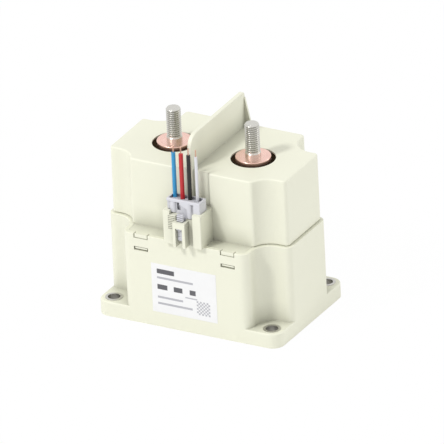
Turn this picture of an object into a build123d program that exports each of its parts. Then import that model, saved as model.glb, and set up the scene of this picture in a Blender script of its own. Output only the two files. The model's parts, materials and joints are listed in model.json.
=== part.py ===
from build123d import *
import os

os.makedirs("parts", exist_ok=True)

# High-voltage DC contactor with two stud terminals. Millimetres.
# Origin at the centre of the base underside, +X right, +Y back, +Z up. The wire plug is on the front, at -Y.

# Base flange and its mounting holes
base_width = 137.0
base_depth = 93.0
flange_height = 10.4
flange_corner_radius = 8.2
flange_edge_radius = 1.0
bolt_edge_x = 9.0                  # mounting hole axis in from the side of the base
bolt_edge_y = 8.5                  # mounting hole axis in from the front or back of the base
bolt_hole_radius = 4.2
bushing_wall = 1.8
bushing_proud = 0.3

# Lower case
case_height = 65.3                 # parting line of case and cover
case_wall = 3.0
case_floor = 4.0
scoop_radius = 12.5                # the wall keeps this far from each mounting hole's axis
block_corner_radius = 6.0
lobe_corner_radius = 5.0
case_rim_radius = 0.5
window_inner_x = 27.3              # snap windows, measured from the middle plane
window_width = 10.7
window_height = 2.7
window_drop = 9.1                  # top of a window below the parting line
notch_depth = 3.0                  # rim notch above each window
board_rib_thickness = 1.6
board_rib_width = 5.0
board_rib_height = 40.0

# Upper cover
cover_step = 2.2                   # cover wall set in from the case wall
cover_wall = 3.0
cover_roof = 3.0
cover_front_setback = 13.3         # front face of the cover behind the front face of the case
cover_corner_radius = 2.6
cover_edge_radius = 1.2
groove_height = 0.8                # shadow line between the cover and the case rim
skirt_depth = 6.0                  # skirt of the cover inside the case
skirt_wall = 2.0
fit_clearance = 0.15               # between moulded pieces that slip together
shelf_thickness = 2.5
tab_side_gap = 0.7                 # between a rim tab and the sides of its notch
tab_bottom_gap = 0.45
tab_setback = 0.3                  # tab's face behind the front face of the case
arm_width = 9.0
hook_reach = 2.7                   # how far a snap hook enters its window
hook_top_gap = 0.6
hook_face_height = 1.1
terminal_hole_radius = 15.2
channel_half_width = 14.0          # shallow channel behind the wires
channel_depth = 1.8

# Barrier wall between the terminals
barrier_thickness = 3.0
barrier_height = 24.7
barrier_rear_gap = 2.3             # barrier's rear end in from the rear face of the cover
barrier_front_radius = 8.5
barrier_rear_radius = 3.0
barrier_edge_radius = 0.6
gusset_thickness = 1.5
gusset_reach = 6.2
gusset_top_reach = 1.9
gusset_drop = 4.3                  # top of the gusset below the top of the barrier

# Terminals
terminal_pitch = 59.2
post_head_radius = 12.0
post_head_proud = 1.8
post_head_edge = 0.5
post_shank_radius = 8.0
stud_radius = 5.0                  # M10, modelled at its outside diameter
stud_length = 23.8                 # above the post head
stud_depth = 14.0                  # in the post
stud_collar_radius = 5.3
stud_collar_height = 3.0
stud_collar_seat = 1.0             # depth of the collar's seat in the post head
stud_chamfer = 0.8
potting_thickness = 7.6
potting_ring_rise = 1.9            # how far the resin fills the terminal holes

# Magnet
yoke_thickness = 4.0
yoke_leg_thickness = 5.0
yoke_half_width = 32.0
yoke_half_depth = 19.5
yoke_tenon_half_depth = 5.0
coil_height = 50.0
coil_flange_radius = 26.0
coil_flange_thickness = 1.5
coil_tube_wall = 1.2
winding_radius = 24.5
sleeve_radius = 10.0               # inside the sleeve
sleeve_wall = 0.6
sleeve_clearance = 0.2
sleeve_drop = 3.4                  # sleeve bottom below the top of the yoke's base
rest_pad_thickness = 1.0
running_clearance = 0.07           # radial, between the moving core and the sleeve and at the shaft
moving_core_length = 26.6
core_travel = 3.2
limit_gap = 0.1                    # left open at the end of each travel
shim_thickness = 0.3
spring_pocket_radius = 6.0
moving_pocket_depth = 6.0
fixed_pocket_depth = 4.0
return_spring_radius = 4.6
return_spring_wire = 0.5
return_spring_turns = 6
screw_x = 20.0
screw_y = 12.0
screw_radius = 2.0
screw_head_radius = 3.6
screw_head_height = 2.0
screw_pocket_depth = 2.2
screw_pocket_radius = 3.9
shaft_radius = 2.5
shaft_in_core = 24.0
shaft_above_clip = 1.8
plate_half_width = 46.0
plate_thickness = 4.0

# Contact chamber
chamber_half_width = 43.0
chamber_half_depth = 16.0
chamber_wall = 3.0
chamber_roof = 4.5
chamber_height = 37.0
chamber_base_height = 4.0
chamber_foot_thickness = 1.2
chamber_foot_reach = 1.5
post_face_below_roof = 11.1
tip_radius = 5.0
tip_thickness = 1.0
contact_gap = 2.4
bridge_half_width = 36.0
bridge_half_depth = 8.0
bridge_thickness = 5.0
clip_radius = 5.0
clip_thickness = 1.2
contact_spring_radius = 4.6
contact_spring_wire = 0.7
contact_spring_turns = 2
contact_spring_height = 6.5
seat_radius = 7.0
seat_thickness = 2.0
magnet_width = 20.0
magnet_thickness = 4.0
magnet_height = 24.0
magnet_top_drop = 5.0
magnet_yoke_thickness = 1.5
magnet_yoke_half_width = 41.0
gas_tube_radius = 2.0
gas_tube_wall = 0.5
gas_tube_height = 6.0
gas_tube_y = 9.0

# Auxiliary switch in the chamber
aux_x = 31.0                       # plunger axis
aux_body_inner_x = 26.5
aux_body_width = 13.0
aux_body_half_depth = 3.2
aux_body_height = 6.8
plunger_radius = 1.2
plunger_length = 4.0
plunger_clearance = 0.06
plunger_well = 0.4                 # free depth below the plunger
arm_half_depth = 2.4
aux_lead_gap = 1.7                 # first lead's axis outside the yoke leg
aux_lead_pitch = 2.9
aux_lead_radius = 0.5
bead_radius = 1.4
aux_lead_drop = 6.0                # how far the leads run below the yoke plate

# Control board in the front of the case
pin_y_from_front = 5.9             # pin and wire axis behind the front face of the case
pin_width = 1.0
board_thickness = 1.6
board_side_gap = 0.3
board_top_gap = 4.8                # below the shelf of the cover
pin_overlap = 8.0                  # length of pin that lies along the board
lead_radius = 0.6
lead_x = 6.0
lead_lug_depth = 3.0
lead_lug_width = 2.6
capacitor_radius = 5.0
capacitor_length = 16.0
capacitor_x = 22.0
capacitor_z = 18.0
transistor_size = (10.0, 4.4, 15.0)
transistor_x = (-24.0, -9.0)
chip_size = (9.0, 1.6, 6.0)
chip_x = 4.0

# Connector shroud on the cover
connector_x = 1.2                  # middle of the shroud and plug, right of the middle plane
wire_row_x = 0.4                   # middle of the row of wires
latch_x = 0.4                      # middle of the latch and its bracket
wire_pitch = 5.65
shroud_half_width = 14.2
shroud_height = 24.1
shroud_floor = 2.0
shroud_wall = 1.5
shroud_front = 0.9                 # shroud's front wall proud of the front face of the case
sill_drop = 5.3                    # top of the front wall between the blocks, below the top of the shroud
block_proud = 3.5                  # side blocks proud of the front face of the case
left_block_width = 9.6
right_block_width = 6.4
pad_inset = 3.9                    # ribbed pad in from the outer side of the left block
pad_step_inset = 5.0               # step above the pad, in from the same side
pad_drop = 2.6                     # top of the pad below the top of the shroud
pad_groove_count = 8
pad_groove_pitch = 1.3
pad_groove_height = 0.6
pad_groove_depth = 0.5
pad_margin = 0.4
latch_slot_half_width = 2.5
shroud_edge_radius = 0.5
bracket_proud = 6.9                # latch bracket proud of the front face of the case
bracket_half_width = 4.6
bracket_height = 18.1
bracket_bar_height = 4.4
bracket_bar_depth = 2.0
bracket_edge_radius = 0.3

# Plug
plug_clearance = 0.2
plug_depth = 9.7                   # of the head, front to back
plug_front_to_pins = 6.6
plug_head_height = 8.0
plug_front_lip = 1.35              # head's front ahead of the nose's front
plug_nose_gap = 0.8                # plug's tip above the shroud's floor
plug_edge_radius = 0.5
plug_pocket_depth = 1.8            # pocket in the top round the wires
plug_pocket_wall = 1.3
plug_pocket_radius = 0.8
plug_band_height = 1.9             # band along the top of the head's front
plug_lobe_width = 4.7              # flat lobe at the right end of the head
plug_rib_radius = 2.9
plug_ribs = ((-8.2, 2.4), (3.9, 5.1))   # x from the middle of the plug, and reach below the head
plug_rib_set_back = 0.05           # rib's front behind the band's front
plug_rib_end_radius = 1.0
plug_rib_clearance = 0.3
plug_groove_x = -3.95              # deep groove, from the middle of the plug
plug_groove_width = 2.5
plug_groove_depth = 1.5            # behind the nose's front
plug_web_depth = 4.5               # sloped web beside the groove, down from the band
socket_width = 2.4
socket_length = 13.0
socket_clearance = 0.05
crimp_radius = 1.2
crimp_length = 5.0
latch_half_width = 2.2
lug_rise = 1.1                     # lug's underside above the plug's tip
lug_wall = 0.95                    # under the latch barrel
lug_lip = 0.65                     # snap mouth of the lug, ahead of the barrel's middle
barrel_radius = 1.0
barrel_clearance = 0.05
barrel_below_lug_top = 0.6
latch_thickness = 1.0
latch_neck = 0.9
latch_gap = 1.0                    # latch arm behind the bracket's bar
hook_engagement = 0.9
hook_slack = 0.45                  # hook below the bar
hook_height = 2.4
thumb_gap = 0.4                    # thumb piece above the bar
thumb_below_head = 1.0
thumb_depth = 0.7
thumb_ridge = 0.4
thumb_ridge_count = 3

# Wires, standing straight up out of the plug
wires = (("blue", 1.40), ("red", 1.50), ("black", 1.35), ("white", 1.05))
conductor_radius = 0.45
wire_length = 42.4                 # insulated, from inside the plug to the stripped end
stripped_length = 5.0

# Label
label_left = -25.5
label_width = 48.7
label_bottom = 10.8
label_height = 35.7
label_thickness = 0.15

tiny = 1e-6                        # for comparing coordinates

# Worked out from the sizes above
bolt_x = base_width / 2 - bolt_edge_x
bolt_y = base_depth / 2 - bolt_edge_y
bushing_radius = bolt_hole_radius + bushing_wall
case_front = -base_depth / 2
case_rear = base_depth / 2
case_corners = (block_corner_radius, lobe_corner_radius)
cover_corners = (cover_corner_radius, cover_corner_radius)
cover_front = case_front + cover_front_setback
cover_rear = case_rear - cover_step
skirt_step = case_wall + fit_clearance
yoke_base_top = case_floor + yoke_thickness
plate_bottom = yoke_base_top + coil_height
plate_top = plate_bottom + plate_thickness
ceramic_bottom = plate_top + chamber_base_height
ceramic_top = ceramic_bottom + chamber_height
ceramic_ceiling = ceramic_top - chamber_roof
roof_bottom = ceramic_top + potting_thickness
cover_top = roof_bottom + cover_roof
post_x = terminal_pitch / 2
post_top = cover_top + post_head_proud
stud_top = post_top + stud_length
barrier_top = cover_top + barrier_height
barrier_rear = cover_rear - barrier_rear_gap

sleeve_bottom = yoke_base_top - sleeve_drop
sleeve_outer = sleeve_radius + sleeve_wall
moving_core_bottom = sleeve_bottom + sleeve_wall + rest_pad_thickness
moving_core_top = moving_core_bottom + moving_core_length
fixed_core_bottom = moving_core_top + core_travel + limit_gap + shim_thickness
return_spring_bottom = moving_core_top - moving_pocket_depth
return_spring_top = fixed_core_bottom + fixed_pocket_depth
shaft_bottom = moving_core_top - shaft_in_core
shaft_hole_radius = shaft_radius + running_clearance

fixed_tip_bottom = ceramic_ceiling - post_face_below_roof
moving_tip_top = fixed_tip_bottom - contact_gap - limit_gap
bridge_top = moving_tip_top - tip_thickness
bridge_bottom = bridge_top - bridge_thickness
seat_top = bridge_bottom - contact_spring_height
seat_bottom = seat_top - seat_thickness
clip_top = bridge_top + clip_thickness
shaft_top = clip_top + shaft_above_clip
aux_body_top = plate_top + aux_body_height
plunger_top = seat_bottom

pin_y = case_front + pin_y_from_front
block_half_width = bolt_x - scoop_radius
board_half_width = block_half_width - case_wall - board_side_gap
board_front = pin_y + pin_width / 2
board_back = board_front + board_thickness
board_top = case_height - shelf_thickness - board_top_gap
lead_z = yoke_base_top + lead_lug_width / 2
aux_lead_x = (yoke_half_width + aux_lead_gap, yoke_half_width + aux_lead_gap + aux_lead_pitch)
plug_front = pin_y - plug_front_to_pins
plug_back = plug_front + plug_depth
nose_front = plug_front + plug_front_lip
shroud_top = case_height + shroud_height
shroud_left = connector_x - shroud_half_width
shroud_right = connector_x + shroud_half_width
left_block_x = shroud_left + left_block_width
right_block_x = shroud_right - right_block_width
pad_top = shroud_top - pad_drop
cavity_bottom = case_height + shroud_floor
cavity_front = nose_front - plug_clearance
cavity_back = plug_back + plug_clearance
cavity_half_width = shroud_half_width - shroud_wall
nose_half_width = cavity_half_width - plug_clearance
plug_bottom = cavity_bottom + plug_nose_gap
plug_top = shroud_top + plug_head_height
wire_x = [wire_row_x + wire_pitch * (i - (len(wires) - 1) / 2) for i in range(len(wires))]
wire_bottom = plug_bottom + socket_length + crimp_length
wire_top = wire_bottom + wire_length
bracket_front = case_front - bracket_proud
bracket_top = case_height + bracket_height
bar_bottom = bracket_top - bracket_bar_height
bar_back = bracket_front + bracket_bar_depth
latch_front = bar_back + latch_gap
latch_back = latch_front + latch_thickness
barrel_y = latch_front + latch_thickness / 2
lug_bottom = plug_bottom + lug_rise
barrel_z = lug_bottom + lug_wall + barrel_radius + barrel_clearance
lug_top = barrel_z + barrel_below_lug_top
window_top = case_height - window_drop
window_bottom = window_top - window_height
window_x = window_inner_x + window_width / 2


def block(x0, x1, y0, y1, z0, z1):
    """A block between two opposite corners."""
    return Pos((x0 + x1) / 2, (y0 + y1) / 2, (z0 + z1) / 2) * Box(x1 - x0, y1 - y0, z1 - z0)


def rod(radius, z0, z1, x=0.0, y=0.0):
    """An upright cylinder."""
    return Pos(x, y, (z0 + z1) / 2) * Cylinder(radius, z1 - z0)


def ring(inner, outer, z0, z1, x=0.0, y=0.0):
    """An upright tube."""
    return rod(outer, z0, z1, x, y) - rod(inner, z0, z1, x, y)


def slab(plan, z0, z1):
    """A plan drawn up from one height to another."""
    return Pos(0, 0, z0) * extrude(plan, amount=z1 - z0)


def rounded_block(x0, x1, y0, y1, z0, z1, radius, axis=Axis.Z):
    """A block whose edges along one axis are rounded."""
    shape = block(x0, x1, y0, y1, z0, z1)
    return fillet(shape.edges().filter_by(axis), radius)


def top_edges(shape):
    """The edges round the highest face."""
    return shape.faces().sort_by(Axis.Z)[-1].outer_wire().edges()


def upright_spring(coil_radius, wire_radius, turns, bottom, top):
    """A compression spring whose end turns rest on its seats."""
    height = top - bottom - 2 * wire_radius
    path = Helix(pitch=height / turns, height=height, radius=coil_radius)
    start = path @ 0
    section = Plane(origin=start, z_dir=path % 0) * Circle(wire_radius)
    return Pos(0, 0, bottom + wire_radius) * sweep(section, path=path)


def housing_plan(step, front, rear, corner_radii):
    """Plan of the housing wall, set in by step: end blocks, side lobes and a scoop round each bolt."""
    half_width = base_width / 2 - step
    radius = scoop_radius + step
    plan = Pos(0, (front + rear) / 2) * Rectangle(2 * half_width, rear - front)
    for side in (-1, 1):
        for end in (-1, 1):
            hole = Pos(side * bolt_x, end * bolt_y)
            beyond_end = Pos(side * (base_width / 2 - radius), end * base_width / 2)
            beyond_side = Pos(side * base_width / 2, end * (base_width / 2 - radius))
            plan -= hole * Circle(radius)
            plan -= hole * beyond_end * Rectangle(base_width, base_width)
            plan -= hole * beyond_side * Rectangle(base_width, base_width)
    block_radius, lobe_radius = corner_radii
    plan = fillet([v for v in plan.vertices() if on_line(v.Y, front, rear)], block_radius)
    return fillet([v for v in plan.vertices() if on_line(v.X, -half_width, half_width)], lobe_radius)


def on_line(value, *lines):
    """Whether a coordinate lies on one of some lines."""
    return any(abs(value - line) < tiny for line in lines)


def case_plan(step):
    """Plan of the lower case wall, set in by step."""
    corners = [max(radius - step, case_rim_radius) for radius in case_corners]
    return housing_plan(step, case_front + step, case_rear - step, corners)


def cover_plan(depth, front_depth=None):
    """Plan of the upper cover wall, set in by depth from its outer face."""
    front_depth = depth if front_depth is None else front_depth
    corners = [max(radius - depth, case_rim_radius) for radius in cover_corners]
    return housing_plan(cover_step + depth, cover_front + front_depth, cover_rear - depth, corners)


def both_sides(shape):
    """A shape and its mirror image across the middle plane."""
    return shape + mirror(shape, about=Plane.YZ)


def both_ends(shape):
    """A shape and its mirror image from front to back."""
    return shape + mirror(shape, about=Plane.XZ)


def make_lower_case():
    flange_plan = fillet(Rectangle(base_width, base_depth).vertices(), flange_corner_radius)
    flange = slab(flange_plan, 0, flange_height)
    flange = fillet(top_edges(flange), flange_edge_radius)
    walls = slab(case_plan(0), 0, case_height)
    walls = fillet(top_edges(walls), case_rim_radius)
    case = flange + walls - slab(case_plan(case_wall), case_floor, case_height)
    rib_inner_x = board_half_width + board_side_gap - board_rib_width
    rib_outer_x = board_half_width + board_side_gap + case_wall / 2
    rib_top = case_floor + board_rib_height
    for y0 in (board_front - fit_clearance - board_rib_thickness, board_back + fit_clearance):
        rib = block(rib_inner_x, rib_outer_x, y0, y0 + board_rib_thickness, case_floor, rib_top)
        case += both_sides(rib)
    wall_front = case_front - case_wall
    wall_back = case_front + 2 * case_wall
    inner_x = window_inner_x
    outer_x = window_inner_x + window_width
    window = block(inner_x, outer_x, wall_front, wall_back, window_bottom, window_top)
    case -= both_ends(both_sides(window))
    notch = block(inner_x, outer_x, wall_front, wall_back, case_height - notch_depth, case_height)
    case -= both_ends(both_sides(notch))
    for x in (-bolt_x, bolt_x):
        for y in (-bolt_y, bolt_y):
            case -= rod(bushing_radius, 0, flange_height, x, y)
    for x in (-screw_x, screw_x):
        for y in (-screw_y, screw_y):
            case -= rod(screw_pocket_radius, 0, screw_pocket_depth, x, y)
            case -= rod(screw_radius + fit_clearance, 0, case_floor, x, y)
    return case


def make_barrier():
    """Barrier wall with its rear gussets, and the rib below it in the front channel."""
    outline = Polyline(
        (cover_front, shroud_top), (cover_front, barrier_top), (barrier_rear, barrier_top),
        (barrier_rear, roof_bottom), (cover_front + channel_depth, roof_bottom),
        (cover_front + channel_depth, shroud_top), close=True)
    face = make_face(outline)
    front_corner = [v for v in face.vertices() if on_line(v.Y, barrier_top) and on_line(v.X, cover_front)]
    face = fillet(front_corner, barrier_front_radius)
    rear_corner = [v for v in face.vertices() if on_line(v.Y, barrier_top) and on_line(v.X, barrier_rear)]
    face = fillet(rear_corner, barrier_rear_radius)
    wall = extrude(Plane.YZ * face, amount=barrier_thickness / 2, both=True)
    rounded_from = barrier_top - barrier_front_radius
    free_edges = [e for e in wall.edges() if abs(e.center().X) > tiny
                  and (e.center().Z > rounded_from or on_line(e.center().Y, cover_front, barrier_rear))]
    wall = fillet(free_edges, barrier_edge_radius)
    gusset_top = barrier_top - gusset_drop
    gusset = make_face(Polyline(
        (-gusset_reach, roof_bottom), (-gusset_reach, cover_top), (-gusset_top_reach, gusset_top),
        (gusset_top_reach, gusset_top), (gusset_reach, cover_top), (gusset_reach, roof_bottom), close=True))
    plate = extrude(Plane.XZ * gusset, amount=gusset_thickness)
    return wall + Pos(0, barrier_rear, 0) * plate


def make_shroud():
    """Connector shroud with its latch bracket; the plug drops in from above."""
    wall_front = case_front - shroud_front
    block_front = case_front - block_proud
    outer = block(shroud_left, shroud_right, wall_front, cover_front + cover_wall / 2,
                  case_height, shroud_top)
    for x0, x1 in ((shroud_left, left_block_x), (right_block_x, shroud_right)):
        outer += rounded_block(x0, x1, block_front, wall_front + shroud_wall, case_height, shroud_top,
                               shroud_edge_radius)
    outer -= block(connector_x - cavity_half_width, connector_x + cavity_half_width,
                   cavity_front, cavity_back, cavity_bottom, shroud_top)
    outer -= block(shroud_left + pad_step_inset, right_block_x, block_front, cavity_front,
                   pad_top, shroud_top)
    rib_left = connector_x + plug_ribs[0][0] - plug_rib_radius - plug_rib_clearance
    outer -= block(rib_left, right_block_x, wall_front, cavity_front, pad_top, shroud_top)
    slot_left = latch_x - latch_slot_half_width
    slot_right = latch_x + latch_slot_half_width
    outer -= block(slot_left, right_block_x, block_front, cavity_front, shroud_top - sill_drop, shroud_top)
    outer -= block(slot_left, slot_right, block_front, cavity_front, cavity_bottom, shroud_top)
    for i in range(1, pad_groove_count + 1):
        z = pad_top - i * pad_groove_pitch
        outer -= block(shroud_left + pad_inset, slot_left - pad_margin, block_front,
                       block_front + pad_groove_depth, z, z + pad_groove_height)
    return outer + Pos(latch_x, 0, 0) * make_bracket()


def make_bracket():
    """Bracket that the plug's latch hooks into, drawn about its own middle."""
    cheek = block(latch_slot_half_width, bracket_half_width, bracket_front, cavity_front,
                  case_height, bracket_top)
    bar = block(-bracket_half_width, bracket_half_width, bracket_front, bar_back, bar_bottom, bracket_top)
    bracket = both_sides(cheek) + bar
    corners = [e for e in bracket.edges().filter_by(Axis.Z) if on_line(e.center().Y, bracket_front)
               and on_line(abs(e.center().X), bracket_half_width)]
    return fillet(corners, bracket_edge_radius)


def make_upper_cover():
    groove_top = case_height + groove_height
    groove_depth = skirt_step - cover_step
    body = slab(cover_plan(0), groove_top, cover_top)
    body = fillet(top_edges(body), cover_edge_radius)
    body += slab(cover_plan(groove_depth, 0), case_height, groove_top)
    skirt_bottom = case_height - skirt_depth
    body += slab(case_plan(skirt_step), skirt_bottom, case_height)
    body -= slab(case_plan(skirt_step + skirt_wall), skirt_bottom, case_height - shelf_thickness)
    body -= slab(cover_plan(cover_wall), skirt_bottom, roof_bottom)
    body -= block(-channel_half_width, channel_half_width, cover_front, cover_front + channel_depth,
                  shroud_top, cover_top)
    for x in (-post_x, post_x):
        body -= rod(terminal_hole_radius, roof_bottom, cover_top, x)
    skirt_face = case_front + skirt_step
    tab_bottom = case_height - notch_depth + tab_bottom_gap
    tab = block(window_inner_x + tab_side_gap, window_inner_x + window_width - tab_side_gap,
                case_front + tab_setback, skirt_face, tab_bottom, case_height)
    arm = block(window_x - arm_width / 2, window_x + arm_width / 2, skirt_face, skirt_face + skirt_wall,
                window_bottom - skirt_wall / 2, skirt_bottom)
    hook_top = window_top - hook_top_gap
    hook_side = make_face(Polyline(
        (skirt_face, window_bottom + fit_clearance), (skirt_face, hook_top),
        (skirt_face - hook_reach, hook_top),
        (skirt_face - hook_reach, hook_top - hook_face_height), close=True))
    hook = Pos(window_x, 0, 0) * extrude(Plane.YZ * hook_side, amount=arm_width / 2, both=True)
    body += both_ends(both_sides(tab + arm + hook))
    body += make_barrier() + make_shroud()
    for x in wire_x:
        body -= block(x - pin_width / 2, x + pin_width / 2, pin_y - pin_width / 2, pin_y + pin_width / 2,
                      case_height - shelf_thickness, cavity_bottom)
    return body


def make_bushings():
    sleeves = Part()
    for x in (-bolt_x, bolt_x):
        for y in (-bolt_y, bolt_y):
            sleeves += ring(bolt_hole_radius, bushing_radius, 0, flange_height + bushing_proud, x, y)
    return sleeves


def make_label():
    return block(label_left, label_left + label_width, case_front - label_thickness, case_front,
                 label_bottom, label_bottom + label_height)


def make_yoke_frame():
    frame = block(-yoke_half_width, yoke_half_width, -yoke_half_depth, yoke_half_depth,
                  case_floor, plate_bottom)
    inner_x = yoke_half_width - yoke_leg_thickness
    frame -= block(-inner_x, inner_x, -yoke_half_depth, yoke_half_depth, yoke_base_top, plate_bottom)
    frame += both_sides(yoke_tenon())
    frame -= rod(sleeve_outer, case_floor, yoke_base_top)
    for x in (-screw_x, screw_x):
        for y in (-screw_y, screw_y):
            frame -= rod(screw_radius, case_floor, yoke_base_top, x, y)
    return frame


def yoke_tenon():
    """End of a yoke leg, staked into the yoke plate."""
    inner_x = yoke_half_width - yoke_leg_thickness
    return block(inner_x, yoke_half_width, -yoke_tenon_half_depth, yoke_tenon_half_depth,
                 plate_bottom, plate_top)


def make_yoke_plate():
    plate = block(-plate_half_width, plate_half_width, -yoke_half_depth, yoke_half_depth,
                  plate_bottom, plate_top)
    plate -= both_sides(yoke_tenon())
    plate -= rod(sleeve_outer, plate_bottom, plate_top)
    for x in aux_lead_x:
        plate -= rod(bead_radius, plate_bottom, plate_top, x)
    return plate


def make_yoke_screws():
    screws = Part()
    for x in (-screw_x, screw_x):
        for y in (-screw_y, screw_y):
            head_bottom = screw_pocket_depth - screw_head_height
            screw = rod(screw_head_radius, head_bottom, screw_pocket_depth, x, y)
            screws += screw + rod(screw_radius, screw_pocket_depth, yoke_base_top, x, y)
    return screws


def make_coil_bobbin():
    tube_inner = sleeve_outer + sleeve_clearance
    tube_outer = tube_inner + coil_tube_wall
    bobbin = rod(tube_outer, yoke_base_top, plate_bottom)
    bobbin += rod(coil_flange_radius, yoke_base_top, yoke_base_top + coil_flange_thickness)
    bobbin += rod(coil_flange_radius, plate_bottom - coil_flange_thickness, plate_bottom)
    for x in (-lead_x, lead_x):
        bobbin += block(x - lead_lug_width / 2, x + lead_lug_width / 2, -coil_flange_radius - lead_lug_depth,
                        -winding_radius, yoke_base_top, yoke_base_top + lead_lug_width)
    bobbin -= rod(tube_inner, yoke_base_top, plate_bottom)
    return bobbin - make_coil_leads()


def make_coil_leads():
    leads = Part()
    lead_end = -coil_flange_radius - lead_lug_depth / 2
    length = lead_end - board_back
    for x in (-lead_x, lead_x):
        middle = Pos(x, (board_back + lead_end) / 2, lead_z)
        leads += middle * Rot(90, 0, 0) * Cylinder(lead_radius, length)
    return leads


def make_coil_winding():
    tube_outer = sleeve_outer + sleeve_clearance + coil_tube_wall
    winding = ring(tube_outer, winding_radius, yoke_base_top + coil_flange_thickness,
                   plate_bottom - coil_flange_thickness)
    return winding


def make_core_sleeve():
    inside = rod(sleeve_radius, sleeve_bottom + sleeve_wall, plate_top)
    return rod(sleeve_outer, sleeve_bottom, plate_top) - inside


def make_rest_pad():
    pad_bottom = sleeve_bottom + sleeve_wall
    return rod(sleeve_radius, pad_bottom, pad_bottom + rest_pad_thickness)


def make_moving_core():
    core = rod(sleeve_radius - running_clearance, moving_core_bottom, moving_core_top)
    core -= rod(spring_pocket_radius, return_spring_bottom, moving_core_top)
    return core - rod(shaft_radius, shaft_bottom, moving_core_top)


def make_fixed_core():
    core = rod(sleeve_radius, fixed_core_bottom, plate_top)
    core -= rod(spring_pocket_radius, fixed_core_bottom, return_spring_top)
    return core - rod(shaft_hole_radius, fixed_core_bottom, plate_top)


def make_core_shim():
    return ring(spring_pocket_radius, sleeve_radius, fixed_core_bottom - shim_thickness, fixed_core_bottom)


def make_actuator_arm():
    """Spring seat on the shaft, with an arm out to the auxiliary switch."""
    seat = rod(seat_radius, seat_bottom, seat_top)
    seat += block(0, aux_x + arm_half_depth, -arm_half_depth, arm_half_depth, seat_bottom, seat_top)
    return seat - rod(shaft_radius, seat_bottom, seat_top)


def make_moving_contact():
    bridge = rounded_block(-bridge_half_width, bridge_half_width, -bridge_half_depth, bridge_half_depth,
                           bridge_bottom, bridge_top, tip_radius)
    return bridge - rod(shaft_hole_radius, bridge_bottom, bridge_top)


def make_tips(bottom):
    return both_sides(rod(tip_radius, bottom, bottom + tip_thickness, post_x))


def make_chamber_base():
    half_width, half_depth = chamber_half_width, chamber_half_depth
    foot_top = plate_top + chamber_foot_thickness
    reach = chamber_foot_reach
    base = block(-half_width - reach, half_width + reach, -half_depth - reach, half_depth + reach,
                 plate_top, foot_top)
    base += block(-half_width, half_width, -half_depth, half_depth, foot_top, ceramic_bottom)
    return base - chamber_space(plate_top, ceramic_bottom)


def chamber_space(z0, z1):
    """The space inside the chamber walls."""
    inner_x = chamber_half_width - chamber_wall
    inner_y = chamber_half_depth - chamber_wall
    return block(-inner_x, inner_x, -inner_y, inner_y, z0, z1)


def make_arc_chamber():
    chamber = rounded_block(-chamber_half_width, chamber_half_width, -chamber_half_depth, chamber_half_depth,
                            ceramic_bottom, ceramic_top, chamber_wall / 2)
    chamber -= chamber_space(ceramic_bottom, ceramic_ceiling)
    for x in (-post_x, post_x):
        chamber -= rod(post_shank_radius, ceramic_ceiling, ceramic_top, x)
    return chamber - rod(gas_tube_radius, ceramic_ceiling, ceramic_top, 0, gas_tube_y)


def make_terminal_post(x):
    head = rod(post_head_radius, ceramic_top, post_top, x)
    head = fillet(top_edges(head), post_head_edge)
    post = head + rod(post_shank_radius, fixed_tip_bottom + tip_thickness, ceramic_top, x)
    post -= rod(stud_collar_radius, post_top - stud_collar_seat, post_top, x)
    return post - rod(stud_radius, post_top - stud_depth, post_top, x)


def make_terminal_stud(x):
    stud = rod(stud_radius, post_top - stud_depth, stud_top, x)
    stud = chamfer(top_edges(stud), stud_chamfer)
    return stud + rod(stud_collar_radius, post_top - stud_collar_seat, post_top + stud_collar_height, x)


def make_gas_tube():
    top = ceramic_top + gas_tube_height
    tube = rod(gas_tube_radius, ceramic_ceiling, top, 0, gas_tube_y)
    bore_top = top - gas_tube_wall
    return tube - rod(gas_tube_radius - gas_tube_wall, ceramic_ceiling, bore_top, 0, gas_tube_y)


def make_potting():
    resin = slab(cover_plan(cover_wall), ceramic_top, roof_bottom)
    for x in (-post_x, post_x):
        resin += rod(terminal_hole_radius, roof_bottom, roof_bottom + potting_ring_rise, x)
        resin -= rod(post_head_radius, ceramic_top, post_top, x)
    return resin - rod(gas_tube_radius, ceramic_top, ceramic_top + gas_tube_height, 0, gas_tube_y)


def magnet_span():
    """Lowest and highest point of the blow-out magnets."""
    top = ceramic_top - magnet_top_drop
    return top - magnet_height, top


def make_blowout_magnets():
    z0, z1 = magnet_span()
    y0 = chamber_half_depth
    half = magnet_width / 2
    magnet = block(post_x - half, post_x + half, y0, y0 + magnet_thickness, z0, z1)
    return both_ends(both_sides(magnet))


def make_magnet_yokes():
    z0, z1 = magnet_span()
    y0 = chamber_half_depth + magnet_thickness
    half = magnet_yoke_half_width
    return both_ends(block(-half, half, y0, y0 + magnet_yoke_thickness, z0, z1))


def make_aux_switch_body():
    body = block(aux_body_inner_x, aux_body_inner_x + aux_body_width,
                 -aux_body_half_depth, aux_body_half_depth, plate_top, aux_body_top)
    well_bottom = plunger_top - plunger_length - plunger_well
    return body - rod(plunger_radius + plunger_clearance, well_bottom, aux_body_top, aux_x)


def make_aux_switch_plunger():
    return rod(plunger_radius, plunger_top - plunger_length, plunger_top, aux_x)


def make_aux_leads():
    """Leads from the auxiliary switch down through the yoke plate and forward to the board."""
    leads = Part()
    bend_z = plate_bottom - aux_lead_drop
    for x in aux_lead_x:
        lead = rod(aux_lead_radius, bend_z, plate_top, x)
        lead += Pos(x, 0, bend_z) * Sphere(aux_lead_radius)
        lead += Pos(x, board_back / 2, bend_z) * Rot(90, 0, 0) * Cylinder(aux_lead_radius, -board_back)
        leads += lead
    return leads


def make_feedthrough_beads():
    beads = Part()
    for x in aux_lead_x:
        beads += ring(aux_lead_radius, bead_radius, plate_bottom, plate_top, x)
    return beads


def make_control_board():
    return block(-board_half_width, board_half_width, board_front, board_back, case_floor, board_top)


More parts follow.
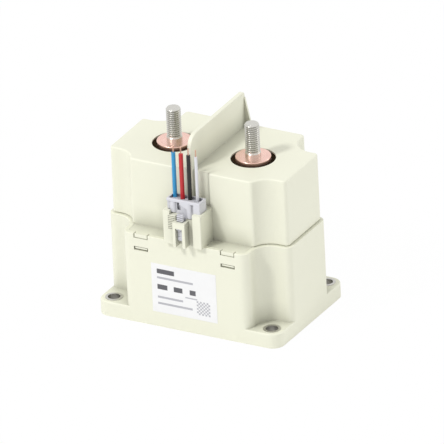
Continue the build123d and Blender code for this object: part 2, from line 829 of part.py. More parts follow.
def make_board_capacitor():
    middle = Pos(capacitor_x, board_back + capacitor_radius, capacitor_z)
    return middle * Rot(0, 90, 0) * Cylinder(capacitor_radius, capacitor_length)


def on_board(size, x, z0):
    """A block component on the back of the board."""
    width, depth, height = size
    return block(x - width / 2, x + width / 2, board_back, board_back + depth, z0, z0 + height)


def make_board_transistors():
    return sum((on_board(transistor_size, x, capacitor_z) for x in transistor_x), Part())


def make_board_chip():
    return on_board(chip_size, chip_x, capacitor_z + transistor_size[2])


def make_header_pins():
    pins = Part()
    half = pin_width / 2
    pin_top = plug_bottom + socket_length - socket_width
    for x in wire_x:
        pins += block(x - half, x + half, pin_y - half, pin_y + half, board_top - pin_overlap, pin_top)
    return pins


def make_plug_head():
    """Head of the plug: a band, two round ribs and a flat lobe on its front, drawn about its own middle."""
    half = nose_half_width
    head = block(-half, half, plug_front, plug_back, shroud_top, plug_top)
    head_edges = head.edges().filter_by(Axis.Z) + head.faces().sort_by(Axis.Z)[-1].edges()
    head = fillet(head_edges, plug_edge_radius)
    head -= rounded_block(plug_pocket_wall - half, half - plug_pocket_wall, plug_front + plug_pocket_wall,
                          plug_back - plug_pocket_wall, plug_top - plug_pocket_depth, plug_top,
                          plug_pocket_radius)
    band_bottom = plug_top - plug_band_height
    head -= block(-half, half - plug_lobe_width, plug_front, nose_front, shroud_top, band_bottom)
    rib_y = plug_front + plug_rib_set_back + plug_rib_radius
    for x, drop in plug_ribs:
        rib = rod(plug_rib_radius, shroud_top - drop, band_bottom + plug_edge_radius, x, rib_y)
        head += fillet(rib.faces().sort_by(Axis.Z)[0].edges(), plug_rib_end_radius)
    groove_left = plug_groove_x - plug_groove_width / 2
    groove_right = plug_groove_x + plug_groove_width / 2
    right_rib_x = plug_ribs[-1][0]
    web = make_face(Polyline(
        (groove_right, band_bottom), (right_rib_x, band_bottom), (right_rib_x, band_bottom - plug_web_depth),
        (groove_right, band_bottom - plug_web_depth / 3), close=True))
    head += Pos(0, nose_front, 0) * extrude(Plane.XZ * web, amount=plug_front_lip)
    return head - block(groove_left, groove_right, nose_front, nose_front + plug_groove_depth,
                        shroud_top, band_bottom)


def make_plug_housing():
    nose = block(-nose_half_width, nose_half_width, nose_front, plug_back, plug_bottom, shroud_top)
    lug = block(-latch_half_width, latch_half_width, barrel_y - lug_lip, nose_front, lug_bottom, lug_top)
    groove_radius = barrel_radius + barrel_clearance
    lug -= Pos(0, barrel_y, barrel_z) * Rot(0, 90, 0) * Cylinder(groove_radius, 3 * latch_half_width)
    plug = Pos(connector_x, 0, 0) * (make_plug_head() + nose) + Pos(latch_x, 0, 0) * lug
    cell = socket_width / 2 + fit_clearance
    for x, (colour, radius) in zip(wire_x, wires):
        plug -= block(x - cell, x + cell, pin_y - cell, pin_y + cell, plug_bottom, wire_bottom)
        plug -= rod(radius + fit_clearance, wire_bottom, plug_top, x, pin_y)
    return plug


def make_plug_latch():
    """Latch lever: a barrel in the plug's lug, an arm, a hook below the bracket's bar and a thumb piece."""
    half = latch_half_width
    hook_top = bar_bottom - hook_slack
    thumb_bottom = bracket_top + thumb_gap
    thumb_top = shroud_top - thumb_below_head
    thumb_front = latch_front - thumb_depth
    barrel = Pos(0, barrel_y, barrel_z) * Rot(0, 90, 0) * Cylinder(barrel_radius, 2 * half)
    arm_bottom = lug_top + latch_neck
    neck = block(-half, half, barrel_y - latch_neck / 2, barrel_y + latch_neck / 2, barrel_z, arm_bottom)
    arm = block(-half, half, latch_front, latch_back, arm_bottom, thumb_top)
    hook_tip = bar_back - hook_engagement
    hook_side = make_face(Polyline(
        (latch_front, hook_top - hook_height), (latch_front, hook_top), (hook_tip, hook_top),
        (hook_tip, hook_top - hook_height / 3), close=True))
    hook = extrude(Plane.YZ * hook_side, amount=half, both=True)
    latch = barrel + neck + arm + hook
    thumb = block(-half, half, thumb_front + thumb_ridge, latch_front, thumb_bottom, thumb_top)
    ridge_pitch = (thumb_top - thumb_bottom) / thumb_ridge_count
    for i in range(thumb_ridge_count):
        z0 = thumb_bottom + i * ridge_pitch
        thumb += block(-half, half, thumb_front, thumb_front + thumb_ridge, z0, z0 + ridge_pitch / 2)
    return Pos(latch_x, 0, 0) * (latch + thumb)


def make_plug_contacts():
    contacts = Part()
    half = socket_width / 2
    bore = pin_width / 2 + socket_clearance
    socket_top = plug_bottom + socket_length
    bore_top = socket_top - socket_width / 2
    for x in wire_x:
        contact = block(x - half, x + half, pin_y - half, pin_y + half, plug_bottom, socket_top)
        contact -= block(x - bore, x + bore, pin_y - bore, pin_y + bore, plug_bottom, bore_top)
        contact += rod(crimp_radius, socket_top, wire_bottom, x, pin_y)
        contact -= rod(conductor_radius, socket_top, wire_bottom, x, pin_y)
        contacts += contact
    return contacts


def make_wire(index):
    radius = wires[index][1]
    return ring(conductor_radius, radius, wire_bottom, wire_top, wire_x[index], pin_y)


def make_conductor(index):
    socket_top = plug_bottom + socket_length
    return rod(conductor_radius, socket_top, wire_top + stripped_length, wire_x[index], pin_y)


pieces = {
    "lower_case": make_lower_case(),
    "upper_cover": make_upper_cover(),
    "mounting_bushings": make_bushings(),
    "rating_label": make_label(),
    "yoke_frame": make_yoke_frame(),
    "yoke_plate": make_yoke_plate(),
    "yoke_screws": make_yoke_screws(),
    "coil_bobbin": make_coil_bobbin(),
    "coil_winding": make_coil_winding(),
    "coil_leads": make_coil_leads(),
    "core_sleeve": make_core_sleeve(),
    "rest_pad": make_rest_pad(),
    "moving_core": make_moving_core(),
    "fixed_core": make_fixed_core(),
    "core_shim": make_core_shim(),
    "return_spring": upright_spring(return_spring_radius, return_spring_wire, return_spring_turns,
                                    return_spring_bottom, return_spring_top),
    "drive_shaft": rod(shaft_radius, shaft_bottom, shaft_top),
    "actuator_arm": make_actuator_arm(),
    "contact_spring": upright_spring(contact_spring_radius, contact_spring_wire, contact_spring_turns,
                                     seat_top, bridge_bottom),
    "moving_contact": make_moving_contact(),
    "moving_contact_tips": make_tips(bridge_top),
    "fixed_contact_tips": make_tips(fixed_tip_bottom),
    "retaining_clip": ring(shaft_radius, clip_radius, bridge_top, clip_top),
    "chamber_base": make_chamber_base(),
    "arc_chamber": make_arc_chamber(),
    "terminal_post_left": make_terminal_post(-post_x),
    "terminal_post_right": make_terminal_post(post_x),
    "terminal_stud_left": make_terminal_stud(-post_x),
    "terminal_stud_right": make_terminal_stud(post_x),
    "gas_tube": make_gas_tube(),
    "potting_compound": make_potting(),
    "blowout_magnets": make_blowout_magnets(),
    "magnet_yokes": make_magnet_yokes(),
    "aux_switch_body": make_aux_switch_body(),
    "aux_switch_plunger": make_aux_switch_plunger(),
    "aux_leads": make_aux_leads(),
    "feedthrough_beads": make_feedthrough_beads(),
    "control_board": make_control_board(),
    "board_capacitor": make_board_capacitor(),
    "board_transistors": make_board_transistors(),
    "board_chip": make_board_chip(),
    "header_pins": make_header_pins(),
    "plug_housing": make_plug_housing(),
    "plug_latch": make_plug_latch(),
    "plug_contacts": make_plug_contacts(),
}
for index, (colour, radius) in enumerate(wires):
    pieces["wire_" + colour] = make_wire(index)
    pieces["conductor_" + colour] = make_conductor(index)

for name, piece in pieces.items():
    export_step(piece, "parts/" + name + ".step")
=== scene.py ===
import json
from math import cos, pi, radians, sin

import bmesh
import bpy
from mathutils import Matrix, Vector


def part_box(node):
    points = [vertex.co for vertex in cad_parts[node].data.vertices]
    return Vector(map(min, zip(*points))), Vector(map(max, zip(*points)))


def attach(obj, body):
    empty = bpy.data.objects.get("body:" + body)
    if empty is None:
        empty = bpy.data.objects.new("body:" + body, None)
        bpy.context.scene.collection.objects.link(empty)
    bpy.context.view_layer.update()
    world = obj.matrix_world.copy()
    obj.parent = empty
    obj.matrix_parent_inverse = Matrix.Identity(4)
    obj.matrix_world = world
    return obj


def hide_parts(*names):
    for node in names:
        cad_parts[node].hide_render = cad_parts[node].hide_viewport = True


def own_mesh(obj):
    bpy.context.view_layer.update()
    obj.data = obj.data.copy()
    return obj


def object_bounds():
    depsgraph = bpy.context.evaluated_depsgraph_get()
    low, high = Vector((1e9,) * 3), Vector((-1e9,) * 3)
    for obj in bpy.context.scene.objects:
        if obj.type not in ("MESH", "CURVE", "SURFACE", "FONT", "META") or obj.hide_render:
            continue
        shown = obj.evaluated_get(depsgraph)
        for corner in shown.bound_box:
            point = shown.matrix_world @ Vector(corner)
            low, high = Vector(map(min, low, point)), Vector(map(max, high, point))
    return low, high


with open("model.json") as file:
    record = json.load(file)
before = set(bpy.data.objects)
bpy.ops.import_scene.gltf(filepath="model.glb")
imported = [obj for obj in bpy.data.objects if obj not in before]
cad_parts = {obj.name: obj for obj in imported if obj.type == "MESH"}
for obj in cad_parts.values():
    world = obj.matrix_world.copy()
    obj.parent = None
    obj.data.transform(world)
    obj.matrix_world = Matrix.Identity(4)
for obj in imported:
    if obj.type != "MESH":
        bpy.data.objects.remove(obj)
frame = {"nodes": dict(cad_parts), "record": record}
cad_low, cad_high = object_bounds()

MM = 0.001

# Sizes repeated from the model, in metres
POST_X = 29.6 * MM
WIRE_ROW_X = 0.4 * MM
WIRE_PITCH = 5.65 * MM
WIRE_Y = -40.6 * MM
STUD_LENGTH = 23.8 * MM
STUD_RADIUS = 5.0 * MM
COLLAR_RADIUS = 5.3 * MM
COLLAR_HEIGHT = 3.0 * MM
STUD_CHAMFER = 0.8 * MM
SPRING_RADIUS = 4.6 * MM
RETURN_SPRING_WIRE = 0.5 * MM
RETURN_SPRING_TURNS = 6
CONTACT_SPRING_WIRE = 0.7 * MM
CONTACT_SPRING_TURNS = 2
CONDUCTOR_RADIUS = 0.45 * MM
WIRES = (("blue", 1.40 * MM), ("red", 1.50 * MM), ("black", 1.35 * MM), ("white", 1.05 * MM))

# The studs' thread, which only the visual model has
THREAD_PITCH = 1.5 * MM
THREAD_DEPTH = 0.8 * MM

# The range that most values of a noise lie in
NOISE_LOW = 0.3
NOISE_HIGH = 0.7

COARSE_DETAIL = 3.0
FINE_DETAIL = 2.0


def place_in_scene(thing):
    """Puts a new object into the scene."""
    bpy.context.scene.collection.objects.link(thing)


# Materials

def new_material(name):
    """A new node material and its main shader."""
    material = bpy.data.materials.new(name)
    material.use_nodes = True
    return material, material.node_tree.nodes["Principled BSDF"]


def add_node(owner, kind, **values):
    """A node with some of its input sockets or properties set."""
    node = owner.node_tree.nodes.new("ShaderNode" + kind)
    for key, value in values.items():
        if key in node.inputs:
            node.inputs[key].default_value = value
        else:
            setattr(node, key, value)
    return node


def join(owner, start, end):
    """A link between two sockets."""
    owner.node_tree.links.new(start, end)


def object_point(material):
    """The place on the object that a texture is read at, in metres."""
    return add_node(material, "TexCoord").outputs["Object"]


def calculate(owner, operation, *values):
    """The result of a sum on sockets and numbers."""
    node = add_node(owner, "Math", operation=operation)
    for socket, value in zip(node.inputs, values):
        if isinstance(value, (int, float)):
            socket.default_value = value
        else:
            join(owner, value, socket)
    return node.outputs[0]


def split_point(material):
    """The place on the object as its three coordinates."""
    point = add_node(material, "SeparateXYZ")
    join(material, object_point(material), point.inputs["Vector"])
    return point.outputs


def noise(material, size, detail=COARSE_DETAIL, stretch=None):
    """A noise whose blotches are about size across, stretched along some axes if asked."""
    point = object_point(material)
    if stretch:
        mapping = add_node(material, "Mapping")
        mapping.inputs["Scale"].default_value = stretch
        join(material, point, mapping.inputs["Vector"])
        point = mapping.outputs["Vector"]
    texture = add_node(material, "TexNoise", Scale=1 / size, Detail=detail)
    join(material, point, texture.inputs["Vector"])
    return texture.outputs["Fac"]


def ramp(material, factor, colours, low=NOISE_LOW, high=NOISE_HIGH):
    """Two colours that a factor blends between from low to high."""
    node = add_node(material, "ValToRGB")
    for element, position, colour in zip(node.color_ramp.elements, (low, high), colours):
        element.position = position
        element.color = (*colour, 1.0)
    join(material, factor, node.inputs["Fac"])
    return node.outputs["Color"]


def spread(material, factor, low, high):
    """A factor's middle range as numbers from low to high."""
    node = add_node(material, "MapRange")
    node.inputs["From Min"].default_value = NOISE_LOW
    node.inputs["From Max"].default_value = NOISE_HIGH
    node.inputs["To Min"].default_value = low
    node.inputs["To Max"].default_value = high
    join(material, factor, node.inputs["Value"])
    return node.outputs["Result"]


def bump(material, shader, height, depth):
    """Relief of a real depth from a height pattern."""
    node = add_node(material, "Bump", Strength=1.0, Distance=depth)
    join(material, height, node.inputs["Height"])
    join(material, node.outputs["Normal"], shader.inputs["Normal"])


def painted_corner_shade(material, colour, strength):
    """A colour with shade painted into the corners and gaps of its own piece, from ambient occlusion."""
    reach = 15 * MM
    openness = add_node(material, "AmbientOcclusion", Distance=reach, samples=8, only_local=True)
    mix = add_node(material, "Mix", data_type="RGBA", blend_type="MULTIPLY")
    mix.inputs["Factor"].default_value = strength
    join(material, colour, mix.inputs["A"])
    join(material, openness.outputs["AO"], mix.inputs["B"])
    return mix.outputs["Result"]


def finish(name, colour, roughness, metallic=0.0, vary=0.04, blotch=20 * MM, grain=0.6 * MM,
           relief=0.01 * MM, rough_spread=0.06, stretch=None, coat=0.0, specular=0.5, corners=0.0):
    """A surface with a fine grain, whose colour and gloss vary a little, with shade painted into its corners
    if asked.
    """
    material, shader = new_material(name)
    shader.inputs["Metallic"].default_value = metallic
    shader.inputs["Coat Weight"].default_value = coat
    shader.inputs["Specular IOR Level"].default_value = specular
    dark = [c * (1 - vary) for c in colour]
    light = [min(1.0, c * (1 + vary)) for c in colour]
    tone = ramp(material, noise(material, blotch), (dark, light))
    # Painted shade: ambient occlusion darkens the colour in corners and gaps.
    if corners:
        tone = painted_corner_shade(material, tone, corners)
    join(material, tone, shader.inputs["Base Color"])
    fine = noise(material, grain, FINE_DETAIL, stretch)
    gloss = spread(material, fine, roughness - rough_spread, roughness + rough_spread)
    join(material, gloss, shader.inputs["Roughness"])
    bump(material, shader, fine, relief)
    return material


def post_distance(material, point):
    """How far a point is from the axis of its terminal post."""
    across = calculate(material, "SUBTRACT", calculate(material, "ABSOLUTE", point["X"]), POST_X)
    squares = [calculate(material, "MULTIPLY", value, value) for value in (across, point["Y"])]
    return calculate(material, "SQRT", calculate(material, "ADD", *squares))


def rolled_steel(name):
    """Steel studs whose thread has painted shade: the colour darkens into its roots."""
    crest_colour = (0.64, 0.63, 0.59)
    root_painted_shade_colour = (0.46, 0.45, 0.42)
    grain = 0.3 * MM
    grain_relief = 0.004 * MM
    material, shader = new_material(name)
    shader.inputs["Metallic"].default_value = 1.0
    point = split_point(material)
    # Painted shade: the colour darkens with depth into the thread's roots, but not on the chamfered end.
    depth = calculate(material, "SUBTRACT", STUD_RADIUS, post_distance(material, point))
    root = calculate(material, "MINIMUM", calculate(material, "DIVIDE", depth, THREAD_DEPTH), 1.0)
    on_thread = calculate(material, "LESS_THAN", point["Z"], cad_high.z - STUD_CHAMFER)
    shade = calculate(material, "MULTIPLY", root, on_thread)
    tone = ramp(material, shade, (crest_colour, root_painted_shade_colour), 0.0, 1.0)
    join(material, tone, shader.inputs["Base Color"])
    fine = noise(material, grain, FINE_DETAIL)
    join(material, spread(material, fine, 0.20, 0.30), shader.inputs["Roughness"])
    bump(material, shader, fine, grain_relief)
    return material


def turned_copper(name):
    """Copper posts with fine rings round each post's axis."""
    ring_width = 0.35 * MM
    ring_relief = 0.004 * MM
    blotch = 6 * MM
    colours = ((0.86, 0.57, 0.49), (0.92, 0.63, 0.55))
    material, shader = new_material(name)
    shader.inputs["Metallic"].default_value = 1.0
    reach = post_distance(material, split_point(material))
    rings = add_node(material, "TexNoise", noise_dimensions="1D", Scale=1 / ring_width, Detail=FINE_DETAIL)
    join(material, reach, rings.inputs["W"])
    join(material, ramp(material, noise(material, blotch), colours), shader.inputs["Base Color"])
    join(material, spread(material, rings.outputs["Fac"], 0.22, 0.34), shader.inputs["Roughness"])
    bump(material, shader, rings.outputs["Fac"], ring_relief)
    return material


def wound_copper(name):
    """Enamelled wire, wound in even turns, with shade painted into the grooves between turns."""
    half_turn = 0.25 * MM
    groove_depth = 0.2 * MM
    blotch = 3 * MM
    colours = ((0.34, 0.12, 0.05), (0.66, 0.28, 0.12))
    material, shader = new_material(name)
    shader.inputs["Metallic"].default_value = 0.9
    shader.inputs["Coat Weight"].default_value = 0.4
    # Painted shade: the colour darkens towards the grooves between turns.
    height = calculate(material, "PINGPONG", split_point(material)["Z"], half_turn)
    level = calculate(material, "DIVIDE", height, half_turn)
    join(material, ramp(material, level, colours), shader.inputs["Base Color"])
    join(material, spread(material, noise(material, blotch), 0.25, 0.4), shader.inputs["Roughness"])
    bump(material, shader, level, groove_depth)
    return material


# Colour, roughness and what differs from a plain finish, for each surface
# corners= is the strength of shade painted into the colour in corners and gaps.
FINISHES = {
    "cream_housing": ((0.75, 0.75, 0.62), 0.46, dict(vary=0.006, blotch=30 * MM, grain=0.35 * MM,
                                                     relief=0.006 * MM, rough_spread=0.05, corners=0.6)),
    "label": ((0.785, 0.785, 0.79), 0.35, dict(vary=0.01, blotch=8 * MM, grain=0.2 * MM, relief=0.001 * MM)),
    "bushing_steel": ((0.58, 0.57, 0.54), 0.35, dict(metallic=1.0, blotch=4 * MM, grain=0.25 * MM,
                                                     stretch=(1, 1, 0.05), relief=0.003 * MM)),
    "potting": ((0.026, 0.018, 0.010), 0.7, dict(vary=0.2, blotch=6 * MM, grain=0.8 * MM, relief=0.02 * MM,
                                                 specular=0.0)),
    "magnet_steel": ((0.56, 0.56, 0.58), 0.38, dict(metallic=1.0, vary=0.08, blotch=12 * MM,
                                                    grain=0.4 * MM, relief=0.004 * MM)),
    "bobbin_plastic": ((0.03, 0.03, 0.034), 0.5, dict(vary=0.1, blotch=10 * MM, grain=0.4 * MM,
                                                      relief=0.008 * MM)),
    "thin_steel": ((0.66, 0.66, 0.68), 0.28, dict(metallic=1.0, blotch=10 * MM, grain=0.3 * MM,
                                                  stretch=(1, 1, 0.08), relief=0.002 * MM)),
    "rubber_pad": ((0.02, 0.02, 0.02), 0.75, dict(vary=0.2, grain=0.5 * MM, relief=0.02 * MM)),
    "spring_steel": ((0.55, 0.55, 0.57), 0.3, dict(metallic=1.0, grain=0.2 * MM, relief=0.002 * MM)),
    "arm_plastic": ((0.62, 0.60, 0.50), 0.5, dict(vary=0.02, grain=0.4 * MM, relief=0.008 * MM)),
    "contact_alloy": ((0.80, 0.79, 0.76), 0.3, dict(metallic=1.0, vary=0.1, blotch=2 * MM,
                                                    grain=0.3 * MM, relief=0.006 * MM)),
    "ceramic": ((0.86, 0.85, 0.82), 0.42, dict(vary=0.01, blotch=8 * MM, grain=0.5 * MM, relief=0.006 * MM)),
    "magnet_black": ((0.06, 0.06, 0.065), 0.5, dict(metallic=0.7, vary=0.2, blotch=2 * MM, grain=0.4 * MM)),
    "switch_black": ((0.02, 0.02, 0.022), 0.45, dict(vary=0.1, grain=0.4 * MM)),
    "switch_red": ((0.45, 0.03, 0.02), 0.4, dict(grain=0.4 * MM)),
    "glass_bead": ((0.20, 0.36, 0.28), 0.1, dict(vary=0.05, coat=0.5)),
    "board_green": ((0.015, 0.13, 0.05), 0.32, dict(vary=0.12, blotch=5 * MM, grain=0.5 * MM, coat=0.3)),
    "component_black": ((0.025, 0.025, 0.028), 0.55, dict(vary=0.1, grain=0.3 * MM)),
    "capacitor_can": ((0.62, 0.62, 0.65), 0.3, dict(metallic=1.0, grain=0.3 * MM)),
    "tin_plate": ((0.74, 0.73, 0.70), 0.3, dict(metallic=1.0, blotch=2 * MM, grain=0.2 * MM,
                                                relief=0.003 * MM)),
    "plug_plastic": ((0.61, 0.61, 0.65), 0.36, dict(vary=0.01, blotch=10 * MM, grain=0.3 * MM,
                                                    relief=0.004 * MM, corners=0.8)),
    "wire_blue": ((0.025, 0.27, 0.54), 0.4, dict(vary=0.03, grain=0.5 * MM)),
    "wire_red": ((0.50, 0.018, 0.024), 0.4, dict(vary=0.03, grain=0.5 * MM)),
    "wire_black": ((0.012, 0.012, 0.012), 0.45, dict(vary=0.05, grain=0.5 * MM)),
    "wire_white": ((0.66, 0.66, 0.69), 0.4, dict(vary=0.01, grain=0.5 * MM)),
    "strand_copper": ((0.76, 0.50, 0.38), 0.3, dict(metallic=1.0, vary=0.06, blotch=1 * MM,
                                                    grain=0.2 * MM, relief=0.002 * MM)),
    "label_ink": ((0.10, 0.10, 0.11), 0.4, dict(vary=0.05, grain=0.3 * MM, relief=0.001 * MM)),
    "pale_label_ink": ((0.42, 0.42, 0.45), 0.4, dict(vary=0.05, grain=0.3 * MM, relief=0.001 * MM)),
}

materials = {name: finish(name, colour, roughness, **extras)
             for name, (colour, roughness, extras) in FINISHES.items()}
materials["copper"] = turned_copper("copper")
materials["stud_steel"] = rolled_steel("stud_steel")
materials["winding_copper"] = wound_copper("winding_copper")

for row in frame["record"]["subparts"]:
    slots = frame["nodes"][row["node"]].data.materials
    slots.clear()
    slots.append(materials[row["material_slot"]])


# Shapes

def finished_mesh(name, built):
    """A mesh from what was built, which is then freed."""
    mesh = bpy.data.meshes.new(name)
    built.to_mesh(mesh)
    built.free()
    return mesh


def mesh_piece(name, mesh, material, body, smooth=True):
    """A new mesh object that rides on a body."""
    mesh.materials.append(material)
    for face in mesh.polygons:
        face.use_smooth = smooth
    piece = bpy.data.objects.new(name, mesh)
    place_in_scene(piece)
    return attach(piece, body)


def skin_rings(built, rings):
    """Faces from each ring of points to the next, and one over each end."""
    for lower, upper in zip(rings, rings[1:]):
        for i in range(len(lower)):
            j = (i + 1) % len(lower)
            built.faces.new((lower[i], lower[j], upper[j], upper[i]))
    built.faces.new(reversed(rings[0]))
    built.faces.new(rings[-1])


def revolved(name, rows, segments):
    """A closed mesh from rings of points: rows are (height, radius at an angle)."""
    built = bmesh.new()
    rings = []
    for height, radius_at in rows:
        ring = []
        for i in range(segments):
            angle = 2 * pi * i / segments
            radius = radius_at(angle)
            ring.append(built.verts.new((radius * cos(angle), radius * sin(angle), height)))
        rings.append(ring)
    skin_rings(built, rings)
    return finished_mesh(name, built)


def tube(built, places, radius, sides):
    """A round rod with closed ends, from its centres and the two directions across it at each."""
    rings = []
    for centre, across, beside in places:
        ring = []
        for i in range(sides):
            angle = 2 * pi * i / sides
            ring.append(built.verts.new(centre + radius * (cos(angle) * across + sin(angle) * beside)))
        rings.append(ring)
    skin_rings(built, rings)


def thread_depth_share(turn):
    """How deep the thread is, from 0 on its crest to 1 in its root, over one turn."""
    crest, root = 0.16, 0.20
    across = abs(turn - 0.5) * 2
    return min(1.0, max(0.0, (across - crest) / (1 - crest - root)))


def threaded_stud(name, node, x):
    """Stud with a rolled thread, a smooth collar on the post and a chamfered end."""
    low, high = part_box(node)
    post_top = high.z - STUD_LENGTH
    thread_start = post_top + COLLAR_HEIGHT
    collar_edge = 0.35 * MM
    run_out = 1.0 * MM
    rows_per_turn = 14
    segments = 72
    sharp_angle = radians(30)

    def plain(radius):
        return lambda angle: radius

    def threaded(height):
        limit = STUD_RADIUS - max(0.0, height - (high.z - STUD_CHAMFER))
        fade = min(1.0, (height - thread_start) / run_out)

        def radius_at(angle):
            turn = (height / THREAD_PITCH - angle / (2 * pi)) % 1.0
            return min(limit, STUD_RADIUS - THREAD_DEPTH * fade * thread_depth_share(turn))
        return radius_at

    rows = [(low.z, plain(STUD_RADIUS)), (post_top, plain(STUD_RADIUS)), (post_top, plain(COLLAR_RADIUS))]
    rows.append((thread_start - collar_edge, plain(COLLAR_RADIUS)))
    rows.append((thread_start, plain(STUD_RADIUS)))
    count = round((high.z - thread_start) / THREAD_PITCH * rows_per_turn)
    for i in range(1, count + 1):
        height = thread_start + (high.z - thread_start) * i / count
        rows.append((height, threaded(height)))
    mesh = revolved(name, rows, segments)
    mesh.transform(Matrix.Translation((x, 0, 0)))
    stud = mesh_piece(name, mesh, materials["stud_steel"], "housing")
    mesh.set_sharp_from_angle(angle=sharp_angle)
    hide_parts(node)


threaded_stud("left_stud", "terminal_stud_left", -POST_X)
threaded_stud("right_stud", "terminal_stud_right", POST_X)


# Springs

def coil_spring(name, node, wire_radius, turns, body):
    """Compression spring, a coil of round wire wound evenly from the bottom to the top of the part it
    replaces.
    """
    low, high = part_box(node)
    sides, steps_per_turn = 12, 36
    steps = steps_per_turn * turns
    rise = high.z - low.z - 2 * wire_radius
    places = []
    for i in range(steps + 1):
        angle = 2 * pi * i / steps_per_turn
        outward = Vector((cos(angle), sin(angle), 0))
        centre = SPRING_RADIUS * outward + Vector((0, 0, low.z + wire_radius + rise * i / steps))
        along = Vector((-sin(angle), cos(angle), rise / (2 * pi * turns * SPRING_RADIUS))).normalized()
        places.append((centre, outward, along.cross(outward)))
    built = bmesh.new()
    tube(built, places, wire_radius, sides)
    spring = mesh_piece(name, finished_mesh(name, built), materials["spring_steel"], body)
    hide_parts(node)
    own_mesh(spring)


coil_spring("return_coil", "return_spring", RETURN_SPRING_WIRE, RETURN_SPRING_TURNS, "housing")
coil_spring("contact_coil", "contact_spring", CONTACT_SPRING_WIRE, CONTACT_SPRING_TURNS, "contact_bridge")


# Print on the label

def slabs(name, boxes, material, body):
    """One mesh of upright blocks, each given by its lowest and highest corner."""
    built = bmesh.new()
    for low, high in boxes:
        size = [b - a for a, b in zip(low, high)]
        middle = [(a + b) / 2 for a, b in zip(low, high)]
        place = Matrix.Translation(middle) @ Matrix.Diagonal((*size, 1.0))
        bmesh.ops.create_cube(built, size=1.0, matrix=place)
    return mesh_piece(name, finished_mesh(name, built), material, body, smooth=False)


def label_print():
    """Plain bars and a checked square where a label has its print: no lettering and no marks of any kind."""
    low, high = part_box("rating_label")
    thickness = 0.03 * MM
    # Each bar in mm: from the label's left edge, down from its top, its width and its height
    dark_bars = (
        (4.2, 3.6, 13.0, 3.4),
        (4.2, 15.0, 7.5, 3.6),
        (16.5, 15.0, 6.5, 3.6),
        (28.5, 15.0, 4.5, 3.6),
    )
    pale_bars = (
        (4.2, 9.3, 27.0, 1.5),
        (25.0, 20.6, 9.0, 0.9),
        (4.2, 23.6, 19.0, 1.5),
        (4.2, 28.2, 26.0, 1.5),
    )
    cell, cells, square_left, square_drop = 1.25, 8, 33.5, 22.0

    def bar(left, drop, width, height):
        x = low.x + left * MM
        top = high.z - drop * MM
        return (x, low.y - thickness, top - height * MM), (x + width * MM, low.y, top)

    checks = []
    for row in range(cells):
        for column in range(cells):
            if (row + column) % 2 == 0:
                checks.append(bar(square_left + column * cell, square_drop + row * cell, cell, cell))
    dark_boxes = [bar(*sizes) for sizes in dark_bars]
    pale_boxes = [bar(*sizes) for sizes in pale_bars] + checks
    dark = slabs("label_dark_print", dark_boxes, materials["label_ink"], "housing")
    pale = slabs("label_pale_print", pale_boxes, materials["pale_label_ink"], "housing")


label_print()


# Wires

def straight_route(x, bottom, top):
    """Points of an upright wire."""
    return [(x, WIRE_Y, bottom), (x, WIRE_Y, (bottom + top) / 2), (x, WIRE_Y, top)]


def wire_curve(name, points, radius, material):
    """A round wire along a smooth line."""
    curve = bpy.data.curves.new(name, "CURVE")
    curve.dimensions = "3D"
    curve.bevel_depth = radius
    curve.bevel_resolution = 6
    curve.resolution_u = 12
    curve.use_fill_caps = True
    spline = curve.splines.new("NURBS")
    spline.points.add(len(points) - 1)
    for point, place in zip(spline.points, points):
        point.co = (*place, 1.0)
    spline.order_u = 3
    spline.use_endpoint_u = True
    curve.materials.append(material)
    wire = bpy.data.objects.new(name, curve)
    place_in_scene(wire)
    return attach(wire, "housing")


def strands(name, x, bottom, top):
    """Stripped end: one straight strand and a ring of others twisted round it."""
    outer_strands = 6
    strand_radius = CONDUCTOR_RADIUS / 3
    lay_length = 9 * MM
    sides, steps = 8, 28
    built = bmesh.new()
    for k in range(outer_strands + 1):
        start = 2 * pi * k / outer_strands
        reach = 0.0 if k == outer_strands else 2 * strand_radius
        places = []
        for i in range(steps + 1):
            height = bottom + (top - bottom) * i / steps
            turn = start + 2 * pi * (height - bottom) / lay_length
            centre = Vector((x + reach * cos(turn), WIRE_Y + reach * sin(turn), height))
            places.append((centre, Vector((1, 0, 0)), Vector((0, 1, 0))))
        tube(built, places, strand_radius, sides)
    return mesh_piece(name, finished_mesh(name, built), materials["strand_copper"], "housing")


for i, (colour, radius) in enumerate(WIRES):
    x = WIRE_ROW_X + WIRE_PITCH * (i - (len(WIRES) - 1) / 2)
    wire_low, wire_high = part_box("wire_" + colour)
    core_low, core_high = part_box("conductor_" + colour)
    route = straight_route(x, wire_low.z, wire_high.z)
    wire = wire_curve(colour + "_insulation", route, radius, materials["wire_" + colour])
    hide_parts("wire_" + colour)
    core = strands(colour + "_strands", x, wire_high.z - CONDUCTOR_RADIUS, core_high.z)
    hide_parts("conductor_" + colour)


# Floor, light and camera

def is_seen(owner):
    """1 where the camera sees a background straight, in a reflection or through glass, and 0 in its light."""
    rays = add_node(owner, "LightPath").outputs
    straight_or_reflected = calculate(owner, "MAXIMUM", rays["Is Camera Ray"], rays["Is Glossy Ray"])
    return calculate(owner, "MAXIMUM", straight_or_reflected, rays["Is Transmission Ray"])


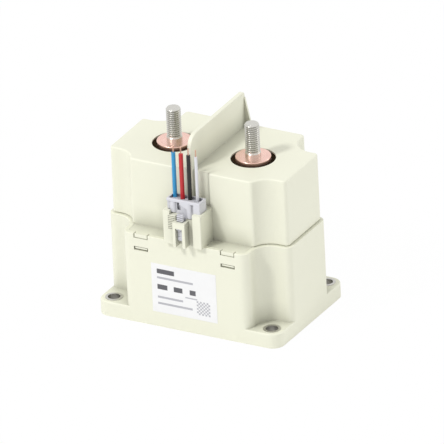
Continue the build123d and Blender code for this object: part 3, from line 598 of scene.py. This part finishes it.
def studio_floor():
    """A pale floor that shows white to the camera and still takes the object's shadow."""
    half_width = 4.0
    pale_grey = (0.85, 0.85, 0.85, 1)
    white_share = 0.985
    built = bmesh.new()
    corners = ((-1, -1), (1, -1), (1, 1), (-1, 1))
    built.faces.new([built.verts.new((x * half_width, y * half_width, 0)) for x, y in corners])
    mesh = finished_mesh("floor", built)
    material, shader = new_material("floor")
    shader.inputs["Base Color"].default_value = pale_grey
    shader.inputs["Roughness"].default_value = 0.9
    shader.inputs["Specular IOR Level"].default_value = 0.1
    white = add_node(material, "Emission", Color=(1, 1, 1, 1), Strength=1.0)
    mix = add_node(material, "MixShader")
    join(material, calculate(material, "MULTIPLY", is_seen(material), white_share), mix.inputs["Fac"])
    join(material, shader.outputs["BSDF"], mix.inputs[1])
    join(material, white.outputs["Emission"], mix.inputs[2])
    join(material, mix.outputs["Shader"], material.node_tree.nodes["Material Output"].inputs["Surface"])
    mesh.materials.append(material)
    floor = bpy.data.objects.new("floor", mesh)
    place_in_scene(floor)


def studio_world():
    """White to the camera and in reflections, and a soft fill on the object."""
    fill = 0.88
    white = 1.0
    world = bpy.data.worlds.new("studio")
    bpy.context.scene.world = world
    world.use_nodes = True
    background = world.node_tree.nodes["Background"]
    background.inputs["Color"].default_value = (1, 1, 1, 1)
    level = add_node(world, "MapRange")
    level.inputs["To Min"].default_value = fill
    level.inputs["To Max"].default_value = white
    join(world, is_seen(world), level.inputs["Value"])
    join(world, level.outputs["Result"], background.inputs["Strength"])


def area_light(name, place, size, power):
    """A square soft light that points at the middle of the object."""
    aim = Vector((0, 0, 60 * MM))
    light = bpy.data.lights.new(name, "AREA")
    light.size = size
    light.energy = power
    lamp = bpy.data.objects.new(name, light)
    lamp.location = place
    lamp.rotation_euler = (aim - Vector(place)).to_track_quat("-Z", "Y").to_euler()
    place_in_scene(lamp)


def photo_camera():
    """Orthographic camera at the photograph's angle."""
    azimuth, elevation, roll = radians(29.624), radians(26.232), radians(-2.644)
    pixels_per_mm = 1.51
    metres_per_pixel = MM / pixels_per_mm
    picture = 444.0
    distance = 1.0
    aim = Vector((0, 0, 60 * MM))
    aim_pixel = (217.349, 222.272)
    forward = Vector((-sin(azimuth) * cos(elevation), cos(azimuth) * cos(elevation), -sin(elevation)))
    right = Vector((cos(azimuth), sin(azimuth), 0))
    up = right.cross(forward)
    tilted_right = right * cos(roll) + up * sin(roll)
    tilted_up = up * cos(roll) - right * sin(roll)
    centre = aim + tilted_right * (picture / 2 - aim_pixel[0]) * metres_per_pixel
    centre -= tilted_up * (picture / 2 - aim_pixel[1]) * metres_per_pixel
    data = bpy.data.cameras.new("camera")
    data.type = "ORTHO"
    data.ortho_scale = picture * metres_per_pixel
    camera = bpy.data.objects.new("camera", data)
    turn = Matrix((tilted_right, tilted_up, -forward)).transposed()
    camera.matrix_world = Matrix.Translation(centre - forward * distance) @ turn.to_4x4()
    place_in_scene(camera)
    bpy.context.scene.camera = camera


studio_floor()
studio_world()
area_light("key", (-0.97, -1.90, 2.30), 0.4, 40.0)
area_light("side", (2.25, 1.90, 0.60), 1.0, 15.0)
photo_camera()
bpy.context.scene.view_settings.view_transform = "Standard"
